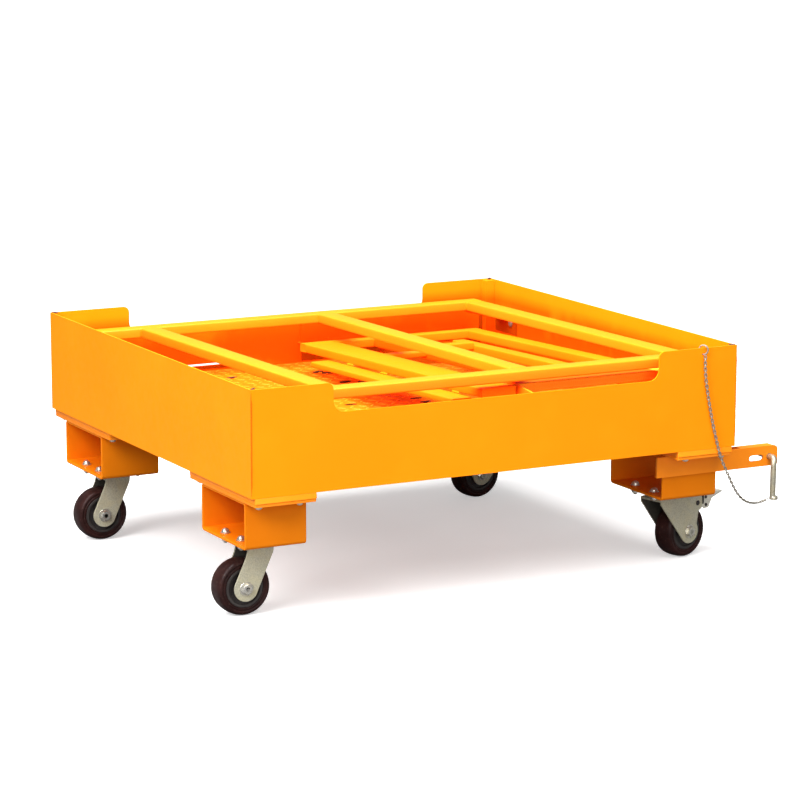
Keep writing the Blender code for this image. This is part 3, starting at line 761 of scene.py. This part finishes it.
def spot_at(x, y, tag):
    """Front left point carried to another corner of the tray."""
    flip_x, flip_y = CORNERS[tag]
    return (TRAY_L - x if flip_x else x), (TRAY_W - y if flip_y else y)


def box_rounded(bm, lo, hi, r, ease):
    """Plate with round corners in plan and eased edges."""
    def ring(shrink, z):
        outline = round_rect(lo[0] + shrink, lo[1] + shrink, hi[0] - shrink, hi[1] - shrink, r)
        return [Vector((u, v, z)) for u, v in outline]

    skin(bm, [ring(ease, lo[2]), ring(0, lo[2] + ease), ring(0, hi[2] - ease), ring(ease, hi[2])])


def make_corner(tag):
    """Weld-on pad, pocket flange, fork pocket, their welds and their bolts."""
    lo, hi = at_corner(FLANGE, tag)
    bm = bmesh.new()
    box_rounded(bm, (lo[0], lo[1], -0.0107), (hi[0], hi[1], hi[2]), 0.0015, 0.0003)
    if not CORNERS[tag][1]:
        for vert in bm.verts:
            if vert.co.y < 0.01:
                vert.co.y += 0.0018 * (vert.co.z - hi[2]) / 0.0105
    box_rounded(bm, (lo[0], lo[1], lo[2]), (hi[0], hi[1], -0.0109), 0.0030, 0.0008)
    piece("flange_plates_" + tag, bm, PAINT, "platform", TRAY, ["flange_" + tag])

    lo, hi = at_corner(POCKET, tag)
    bm = bmesh.new()
    tube(bm, lo, hi, "X", POCKET_WALL, 0.0075, 0.0008)
    piece("fork_pocket_" + tag, bm, SHADED_POCKET_PAINT, "platform", TRAY, ["pocket_" + tag])

    bm = bmesh.new()
    seed = 50 + 7 * list(CORNERS).index(tag)
    for n, (y, side) in enumerate(((lo[1] + 0.0010, -1), (hi[1] - 0.0010, 1))):
        start, end = (lo[0] + 0.006, y, hi[2] - 0.0008), (hi[0] - 0.006, y, hi[2] - 0.0008)
        bead(bm, start, end, 0.0026, seed + n, normal=(0, side, -1))
    piece("pocket_welds_" + tag, bm, SEAM, "platform", TRAY, sharp=70)

    bm = bmesh.new()
    for x in (0.018, 0.101):
        for y in (0.017, 0.276):
            px, py = spot_at(x + 0.004, y, tag)
            dome_bolt(bm, (px, py, FLANGE[0][2]), (0, 0, -1), 0.0072, 0.0078)
    for dx in (-0.0425, 0.0425):
        for dy in (-0.035, 0.035):
            px, py = spot_at(KING[0] + dx, KING[1] + dy, tag)
            dome_bolt(bm, (px, py, POCKET[0][2] + POCKET_WALL), (0, 0, 1), 0.0078, 0.0095)
            hexagon(bm, (px, py, ROOF - 0.004), (0, 0, -1), 0.0125, 0.0060, 0.0038, 0.0035, turn=dx * 9)
    piece("corner_bolts_" + tag, bm, BRIGHT, "platform", TRAY)


# ---------------------------------------------------------------- guards
def make_cover():
    """Drawn tubes of the cover guard and their welds."""
    x, _, z = COVER_HINGE
    low, high = z - TUBE_H / 2, z + TUBE_H / 2
    for name, y in (("cover_post_front", COVER_Y[0]), ("cover_post_back", COVER_Y[1] - TUBE_W)):
        bm = bmesh.new()
        tube(bm, (COVER_X[0], y, low), (COVER_X[1], y + TUBE_W, high), "X", 0.0025, 0.0030)
        piece("tube_" + name, bm, PAINT, "cover_guard", COVER, [name])
    y0, y1 = COVER_Y[0] + TUBE_W + GAP, COVER_Y[1] - TUBE_W - GAP
    for name, rail_x in COVER_RAILS.items():
        bm = bmesh.new()
        tube(bm, (rail_x, y0, low), (rail_x + TUBE_W, y1, high), "Y", 0.0025, 0.0030)
        piece("tube_" + name, bm, PAINT, "cover_guard", COVER, [name])
    bm = bmesh.new()
    seed = 90
    for rail_x in COVER_RAILS.values():
        for y, side in ((y0, 1), (y1, -1)):
            edge = y - side * 0.0002
            for level, normal in ((high - 0.0003, (0, 0, 1)), (low + 0.0003, (0, 0, -1))):
                start, end = (rail_x + 0.003, edge, level), (rail_x + TUBE_W - 0.003, edge, level)
                bead(bm, start, end, 0.0014, seed, flat=0.4, normal=normal)
                seed += 1
            for face, out in ((rail_x + 0.0008, -1), (rail_x + TUBE_W - 0.0008, 1)):
                start = (face, edge + side * 0.0006, low + 0.002)
                end = (face, edge + side * 0.0006, high - 0.002)
                bead(bm, start, end, 0.0024, seed, normal=(out, side, 0))
                seed += 1
    piece("cover_welds", bm, SEAM, "cover_guard", COVER, sharp=70)


POST_LEFT = (0.512, 0.586)
POST_MID = (0.675, 0.705)
POST_RIGHT = (0.903, 0.938)
FAR_RAIL = (0.822, 0.850)
NEAR_RAIL = (0.075, 0.115)
PLUGGED = ("side_top_rail", "side_outer_bar", "side_inner_bar", "side_post_left")


def side_bars():
    """Name, box and axis of each bar of the side guard."""
    low, top = SIDE_TOP - SIDE_H, SIDE_TOP
    y0, y1 = NEAR_RAIL[1] + GAP, FAR_RAIL[0] - GAP
    return [
        ("side_bottom_rail", (0.600, NEAR_RAIL[0], low), (0.950, NEAR_RAIL[1], top), "X"),
        ("side_top_rail", (POST_LEFT[0], FAR_RAIL[0], low), (POST_RIGHT[1], FAR_RAIL[1], top), "X"),
        ("side_post_left", (POST_LEFT[0], 0.060, low), (POST_LEFT[1], y1, top), "Y"),
        ("side_post_right", (POST_RIGHT[0], y0, low), (POST_RIGHT[1], y1, top), "Y"),
        ("side_post_mid", (POST_MID[0], y0, low), (POST_MID[1], y1, top), "Y"),
        ("side_outer_bar", (0.468, 0.100, low - 0.014), (POST_LEFT[0] - GAP, 0.709, top - 0.0205), "Y"),
        ("side_inner_bar", (0.820, y0, low - 0.006), (0.850, 0.740, top - 0.006), "Y"),
        ("side_cross_strip", (POST_MID[1] + GAP, 0.645, low + 0.002), (0.820 - GAP, 0.672, top), "X"),
    ]


def make_side():
    """Bars of the side guard with their welds."""
    for name, lo, hi, axis in side_bars():
        bm = bmesh.new()
        tube(bm, lo, hi, axis, 0.002, 0.0026, plugged=name in PLUGGED)
        # painted light on the bottom rail, painted shade on the other bars
        paint = LIT_RAIL_PAINT if name == "side_bottom_rail" else SHADED_SIDE_PAINT
        piece("tube_" + name, bm, paint, "side_guard", SIDE, [name])
    bm = bmesh.new()
    top = SIDE_TOP
    lo, hi = (POST_LEFT[1] + GAP, 0.585, top - SIDE_H + 0.006), (0.6752, 0.612, top - 0.001)
    tube(bm, lo, hi, "X", 0.002, 0.0022, plugged=True)
    piece("side_arm", bm, SHADED_SIDE_PAINT, "side_guard", SIDE)
    bm = bmesh.new()
    seed = 200
    far, near = FAR_RAIL[0], NEAR_RAIL[1]
    ends = [((POST_LEFT[1], 0.600), 0.1), (POST_LEFT, far), (POST_MID, far), (POST_RIGHT, far)]
    ends += [(POST_MID, near), (POST_RIGHT, near)]
    for (x0, x1), y in ends:
        bead(bm, (x0 + 0.003, y, top - 0.0003), (x1 - 0.003, y, top - 0.0003), 0.0013, seed, flat=0.4)
        seed += 1
    for x in (0.705, 0.820):
        bead(bm, (x, 0.648, top - 0.0003), (x, 0.669, top - 0.0003), 0.0013, seed, flat=0.4)
        seed += 1
    # painted shade: a thin darker sheet on top of the bottom rail
    line = cube((0.604, 0.0754, top), (0.911, 0.1140, top + 0.0003))
    piece("side_rail_shade_strip", line, PAINTED_SHADE_MID, "side_guard", SIDE)
    for y in (0.15, 0.3, 0.45, 0.6):
        bead(bm, (0.5118, y, top - 0.0188), (0.5118, y + 0.03, top - 0.0188), 0.0028, seed, normal=(-1, 0, 1))
        seed += 1
    piece("side_welds", bm, SEAM, "side_guard", SIDE, sharp=70)


# ---------------------------------------------------------------- casters
def leg_outline(with_brake):
    """Side view of a fork leg; a braked one has a lobe for the pedal's pivot."""
    if not with_brake:
        outline = [(-0.024, LEG_TOP), (0.028, LEG_TOP), (0.027, -0.133)]
        return outline + arc(-PLAIN_TRAIL, AXLE_Z, LEG_R, -38, -212, 18) + [(-0.029, -0.140)]
    outline = [(-0.024, LEG_TOP), (0.034, LEG_TOP), (0.033, -0.133)]
    outline += arc(-BRAKED_TRAIL, AXLE_Z, LEG_R, -38, -212, 18)
    outline += [(-0.078, -0.160), (-0.084, -0.158), (-0.088, -0.154), (-0.089, -0.148), (-0.088, -0.134)]
    return outline + [(-0.086, -0.1305), (-0.082, -0.129), (-0.061, -0.128), (-0.034, LEG_TOP)]


def solid_plate(outline, y0, y1):
    """Object of a flat outline in the xz plane from y0 to y1, for a cut or a trim."""
    curve = bpy.data.curves.new("outline", "CURVE")
    curve.dimensions = "2D"
    curve.fill_mode = "BOTH"
    curve.extrude = (y1 - y0) / 2
    spline = curve.splines.new("POLY")
    spline.points.add(len(outline) - 1)
    spline.use_cyclic_u = True
    for point, (u, v) in zip(spline.points, outline):
        point.co = (u, v, 0, 1)
    source = bpy.data.objects.new("outline", curve)
    bpy.context.scene.collection.objects.link(source)
    graph = bpy.context.evaluated_depsgraph_get()
    mesh = bpy.data.meshes.new_from_object(source.evaluated_get(graph))
    bpy.data.objects.remove(source, do_unlink=True)
    bm = bmesh.new()
    bm.from_mesh(mesh)
    bpy.data.meshes.remove(mesh)
    bmesh.ops.remove_doubles(bm, verts=bm.verts, dist=1e-6)
    turn = Matrix(((1, 0, 0, 0), (0, 0, -1, (y0 + y1) / 2), (0, 1, 0, 0), (0, 0, 0, 1)))
    bm.transform(turn)
    bm.normal_update()
    bmesh.ops.recalc_face_normals(bm, faces=bm.faces)
    return bm


def as_cutter(bm):
    """Object that holds a bmesh."""
    mesh = bpy.data.meshes.new("cutter")
    bm.to_mesh(mesh)
    bm.free()
    obj = bpy.data.objects.new("cutter", mesh)
    bpy.context.scene.collection.objects.link(obj)
    return obj


def boolean(bm, other, operation):
    """Result of an exact Boolean of two bmeshes."""
    target, tool = as_cutter(bm), as_cutter(other)
    mod = target.modifiers.new("bool", "BOOLEAN")
    mod.operation = operation
    mod.solver = "EXACT"
    mod.object = tool
    graph = bpy.context.evaluated_depsgraph_get()
    mesh = bpy.data.meshes.new_from_object(target.evaluated_get(graph))
    result = bmesh.new()
    result.from_mesh(mesh)
    bpy.data.meshes.remove(mesh)
    for obj in (target, tool):
        bpy.data.objects.remove(obj, do_unlink=True)
    return result


def cube(lo, hi):
    """Box as a bmesh."""
    bm = bmesh.new()
    size = Matrix.Diagonal((*(Vector(hi) - Vector(lo)), 1))
    bmesh.ops.create_cube(bm, size=1, matrix=Matrix.Translation((Vector(hi) + Vector(lo)) / 2) @ size)
    bm.normal_update()
    return bm


PEDAL_OUTLINE = [
    (-0.066, -0.136), (-0.074, -0.1325), (-0.093, -0.1285), (-0.155, -0.129), (-0.157, -0.133),
    (-0.126, -0.142), (-0.116, -0.160), (-0.102, -0.161), (-0.093, -0.1505), (-0.074, -0.146),
    (-0.066, -0.1433),
]


def make_caster(tag):
    """Plate, swivel head, pressed fork, axle bolt, wheel and brake."""
    angle, with_brake = CASTERS[tag]
    trail = BRAKED_TRAIL if with_brake else PLAIN_TRAIL
    king = spot_at(*KING, tag)
    here = TRAY @ Matrix.Translation((king[0], king[1], 0))
    fork = here @ Matrix.Rotation(math.radians(angle), 4, "Z")
    swivel, wheel = "swivel_" + tag, "wheel_" + tag

    bm = bmesh.new()
    box_rounded(bm, (-0.0525, -0.045, ROOF - 0.004), (0.0525, 0.045, ROOF), 0.008, 0.0007)
    piece("top_plate_" + tag, bm, ZINC, "platform", here, ["caster_plate_" + tag])

    legs = solid_plate(leg_outline(with_brake), -LEG_Y[1], LEG_Y[1])
    legs = boolean(legs, cube((-0.12, -LEG_Y[0], -0.26), (0.08, LEG_Y[0], LEG_TOP - 0.005)), "DIFFERENCE")
    # painted shade: the legs' inner faces take a dark material
    for face in legs.faces:
        inner = abs(face.calc_center_median().y) < LEG_Y[0] + GAP
        face.material_index = int(inner and abs(face.normal.y) > 0.9)
    metals = [ZINC, FORK_INSIDE_SHADE]
    piece("pressed_fork_" + tag, legs, metals, swivel, fork, ["fork_" + tag], 30, 0.0013, 3)

    bm = bmesh.new()
    race = [(0, -0.1226), (0.0300, -0.1226), (0.0330, -0.1222), (0.0338, -0.1210), (0.0338, -0.1190)]
    race += [(0.0322, -0.1178), (0.0305, -0.1174), (0.0305, -0.1168), (0.0325, -0.1162)]
    race += [(0.0338, -0.1150), (0.0338, -0.1136), (0.0318, -0.11265), (0, -0.11265)]
    turned(bm, race, Matrix.Identity(4), 48)
    dome = [(0, -0.1272), (0.012, -0.1272), (0.012, -0.1290), (0.0095, -0.1325)]
    turned(bm, dome + [(0.0050, -0.1345), (0, -0.1350)], Matrix.Identity(4), 28)
    piece("swivel_race_" + tag, bm, ZINC, swivel, fork)

    bm = bmesh.new()
    for side in (-1, 1):
        face = Vector((-trail, side * LEG_Y[1], AXLE_Z))
        if side * (1 if 90 < angle < 270 else -1) > 0:
            hexagon(bm, face, (0, side, 0), 0.0185, 0.0068, 0.0052, 0.0, turn=0.3)
        else:
            hexagon(bm, face, (0, side, 0), 0.0185, 0.0062, 0.0058, 0.0004, turn=0.2)
    spot = pointing((-trail, -LEG_Y[0], AXLE_Z), (0, 1, 0))
    turned(bm, [(0, 0), (0.006, 0), (0.006, 2 * LEG_Y[0]), (0, 2 * LEG_Y[0])], spot, 24)
    piece("axle_bolt_" + tag, bm, BRIGHT, swivel, fork)

    axle = pointing((-trail, 0, AXLE_Z), (0, 1, 0))
    bm = bmesh.new()
    half = [(0.0064, 0.0230), (0.0125, 0.0230), (0.0134, 0.0220), (0.0144, 0.0144), (0.0170, 0.0130)]
    half += [(0.0280, 0.0130), (0.0310, 0.0142), (0.0326, 0.0200), (0.0370, 0.0205), (0.0378, 0.0198)]
    turned(bm, half + [(r, -w) for r, w in half[::-1]], axle, 56, closed=True)
    ring = [(0.0042, -0.0002), (0.0046, 0.0006), (0.0040, 0.0010), (0.0034, 0.0006), (0.0030, -0.0002)]
    for k in range(5):
        a = 2 * math.pi * k / 5
        for face in (-1, 1):
            place = Vector((-trail + 0.0225 * math.cos(a), face * 0.0130, AXLE_Z + 0.0225 * math.sin(a)))
            turned(bm, ring, pointing(place, (0, face, 0)), 20)
    piece("wheel_core_" + tag, bm, CORE, wheel, fork, ["hub_" + tag])

    bm = bmesh.new()
    half = [(0.0383, 0.0205), (0.0396, 0.0212), (0.0422, 0.0213), (0.0431, 0.0206), (0.0443, 0.0206)]
    half += [(0.0452, 0.0214), (0.0474, 0.0218), (0.0494, 0.0212), (0.0511, 0.0196), (0.0524, 0.0168)]
    half += [(0.0532, 0.0132), (0.0537, 0.0085), (WHEEL_R, 0.0030)]
    turned(bm, half + [(r, -w) for r, w in half[::-1]], axle, 72, closed=True)
    piece("tyre_tread_" + tag, bm, TYRE, wheel, fork, ["tyre_" + tag])

    if with_brake:
        make_brake(tag, fork)


def make_brake(tag, fork):
    """Pressed pedal with its rivets, and the rubber shoe behind it."""
    lever = solid_plate(PEDAL_OUTLINE, -PEDAL_HALF, PEDAL_HALF)
    inner = PEDAL_HALF - 0.0025
    lever = boolean(lever, cube((-0.140, -inner, -0.17), (-0.082, inner, -0.1335)), "DIFFERENCE")
    pedal = "pedal_" + tag
    piece(pedal, lever, PALE_ZINC, pedal, fork, ["brake_" + pedal], 30, 0.0010, 3)
    bm = bmesh.new()
    for side in (-1, 1):
        for x, z in ((-0.106, -0.137), (-0.107, -0.153)):
            dome_bolt(bm, (x, side * PEDAL_HALF, z), (0, side, 0), 0.0026, 0.0020)
    piece("pedal_rivets_" + tag, bm, CORE, pedal, fork)
    bm = bmesh.new()
    for side in (-1, 1):
        dome_bolt(bm, (-0.0745, side * LEG_Y[1], -0.1435), (0, side, 0), 0.0040, 0.0032)
    piece("brake_pivot_" + tag, bm, CORE, "swivel_" + tag, fork)
    shoe = cube((-0.1000, -0.0236, -0.1500), (-0.0905, 0.0236, -0.1300))
    piece("brake_rubber_" + tag, shoe, RUBBER, pedal, fork, bevel=0.0012)


# ---------------------------------------------------------------- locking pin
def make_pin():
    """Bent round bar with a round foot, where the chain ends."""
    x, _, z = PIN
    route = [(x, 0.080, z), (x, 0.060, z), (x, 0.045, z), (x, 0.034, z)]
    route += [(x - 0.0003, 0.0300, z - 0.0005), (x - 0.0012, 0.0265, z - 0.0022)]
    route += [(x - 0.0024, 0.0238, z - 0.0052), (x - 0.0038, 0.0223, z - 0.0095)]
    route += [(x - 0.0045, 0.022, z - 0.0135), (x - 0.0048, 0.022, -0.080), (x - 0.005, 0.022, -0.118)]
    bm = bmesh.new()
    rod(bm, route, PIN_R, 24)
    foot = Matrix.Translation((x - 0.0024, 0.022, 0))
    profile = [(0, -0.1238), (0.0078, -0.1238), (0.0086, -0.1230), (0.0086, -0.1178)]
    turned(bm, profile + [(0.0078, -0.1168), (0.0064, -0.1164), (0, -0.1164)], foot, 32)
    piece("bent_pin", bm, PIN_ZINC, "lock_pin", TRAY, ["lock_pin"], 40)


# ---------------------------------------------------------------- studio
def make_studio():
    """White floor, white surroundings and soft boxes."""
    scene = bpy.context.scene
    scene.view_settings.view_transform = "Standard"
    world = bpy.data.worlds.new("studio")
    world.use_nodes = True
    tree = world.node_tree
    seen = tree.nodes.new("ShaderNodeLightPath").outputs["Is Camera Ray"]
    strength = tree.nodes.new("ShaderNodeMapRange")
    tree.links.new(seen, strength.inputs[0])
    strength.inputs[3].default_value = 0.22
    strength.inputs[4].default_value = 1.05
    tree.links.new(strength.outputs[0], tree.nodes["Background"].inputs[1])
    tree.nodes["Background"].inputs[0].default_value = (1, 1, 1, 1)
    scene.world = world
    s = Shader("pale_floor")
    s.set(Base_Color=s.mix(s.noise(2.0, 2), (0.80, 0.80, 0.80), (0.84, 0.84, 0.84)), Roughness=0.8)
    away = s.add("ShaderNodeVectorMath", {0: s.where}, operation="LENGTH").outputs["Value"]
    fade = s.ramp(away, 1.5, 6.0, (0.45, 1.05))
    glow = s.add("ShaderNodeEmission", {"Color": (1, 1, 1, 1), "Strength": fade})
    pale = s.add("ShaderNodeAddShader", {0: s.bsdf.outputs[0], 1: glow.outputs[0]})
    plain = s.add("ShaderNodeBsdfDiffuse", {"Color": (0.17, 0.17, 0.17, 1)})
    seen = s.add("ShaderNodeLightPath").outputs["Is Camera Ray"]
    both = s.add("ShaderNodeMixShader", {0: seen, 1: plain.outputs[0], 2: pale.outputs[0]})
    s.put(s.tree.nodes["Material Output"].inputs["Surface"], both.outputs[0])
    mesh = bpy.data.meshes.new("floor")
    bm = bmesh.new()
    bmesh.ops.create_grid(bm, x_segments=4, y_segments=4, size=30)
    bm.to_mesh(mesh)
    bm.free()
    mesh.materials.append(s.material)
    floor = bpy.data.objects.new("floor", mesh)
    scene.collection.objects.link(floor)
    for name, place, size, power in (
        ("overhead", (-0.5, -0.3, 3.2), 2.6, 272),
        ("front_left", (-4.0, -1.9, 3.2), 2.6, 290),
        ("front", (0.4, -3.6, 3.8), 2.4, 100),
        ("front_low", (-1.2, -4.2, 1.2), 2.0, 55),
    ):
        light = bpy.data.lights.new(name, "AREA")
        light.energy = power
        light.size = size
        lamp = bpy.data.objects.new(name, light)
        lamp.matrix_world = pointing(place, Vector(place) - LIT_POINT)
        scene.collection.objects.link(lamp)


WALLS = ["wall_front", "wall_back", "wall_left", "wall_right"]
FRAMES = ["base_front", "base_back", "base_mid", "cover_rest_front", "cover_rest_back"]
LUGS = ["cover_lug_front", "cover_lug_back", "side_lug_left", "side_lug_right"]
paint_cad(WALLS + ["back_stiffener", "corner_post"], WALL, 0.0007)
paint_cad(FRAMES, PAINT, 0.0008)
paint_cad(LUGS, PAINT, 0.0006, angle=50)
paint_floor()
paint_cad(["side_rest"], SHADED_BED_PAINT, 0.0008)
paint_cad(["lock_bar"], PAINT, 0.0014, angle=50)
make_tread()
make_seams()
make_shade_spots()
make_catch_and_shadows()
for corner in CORNERS:
    make_corner(corner)
    make_caster(corner)
make_cover()
make_side()
make_pin()
make_studio()
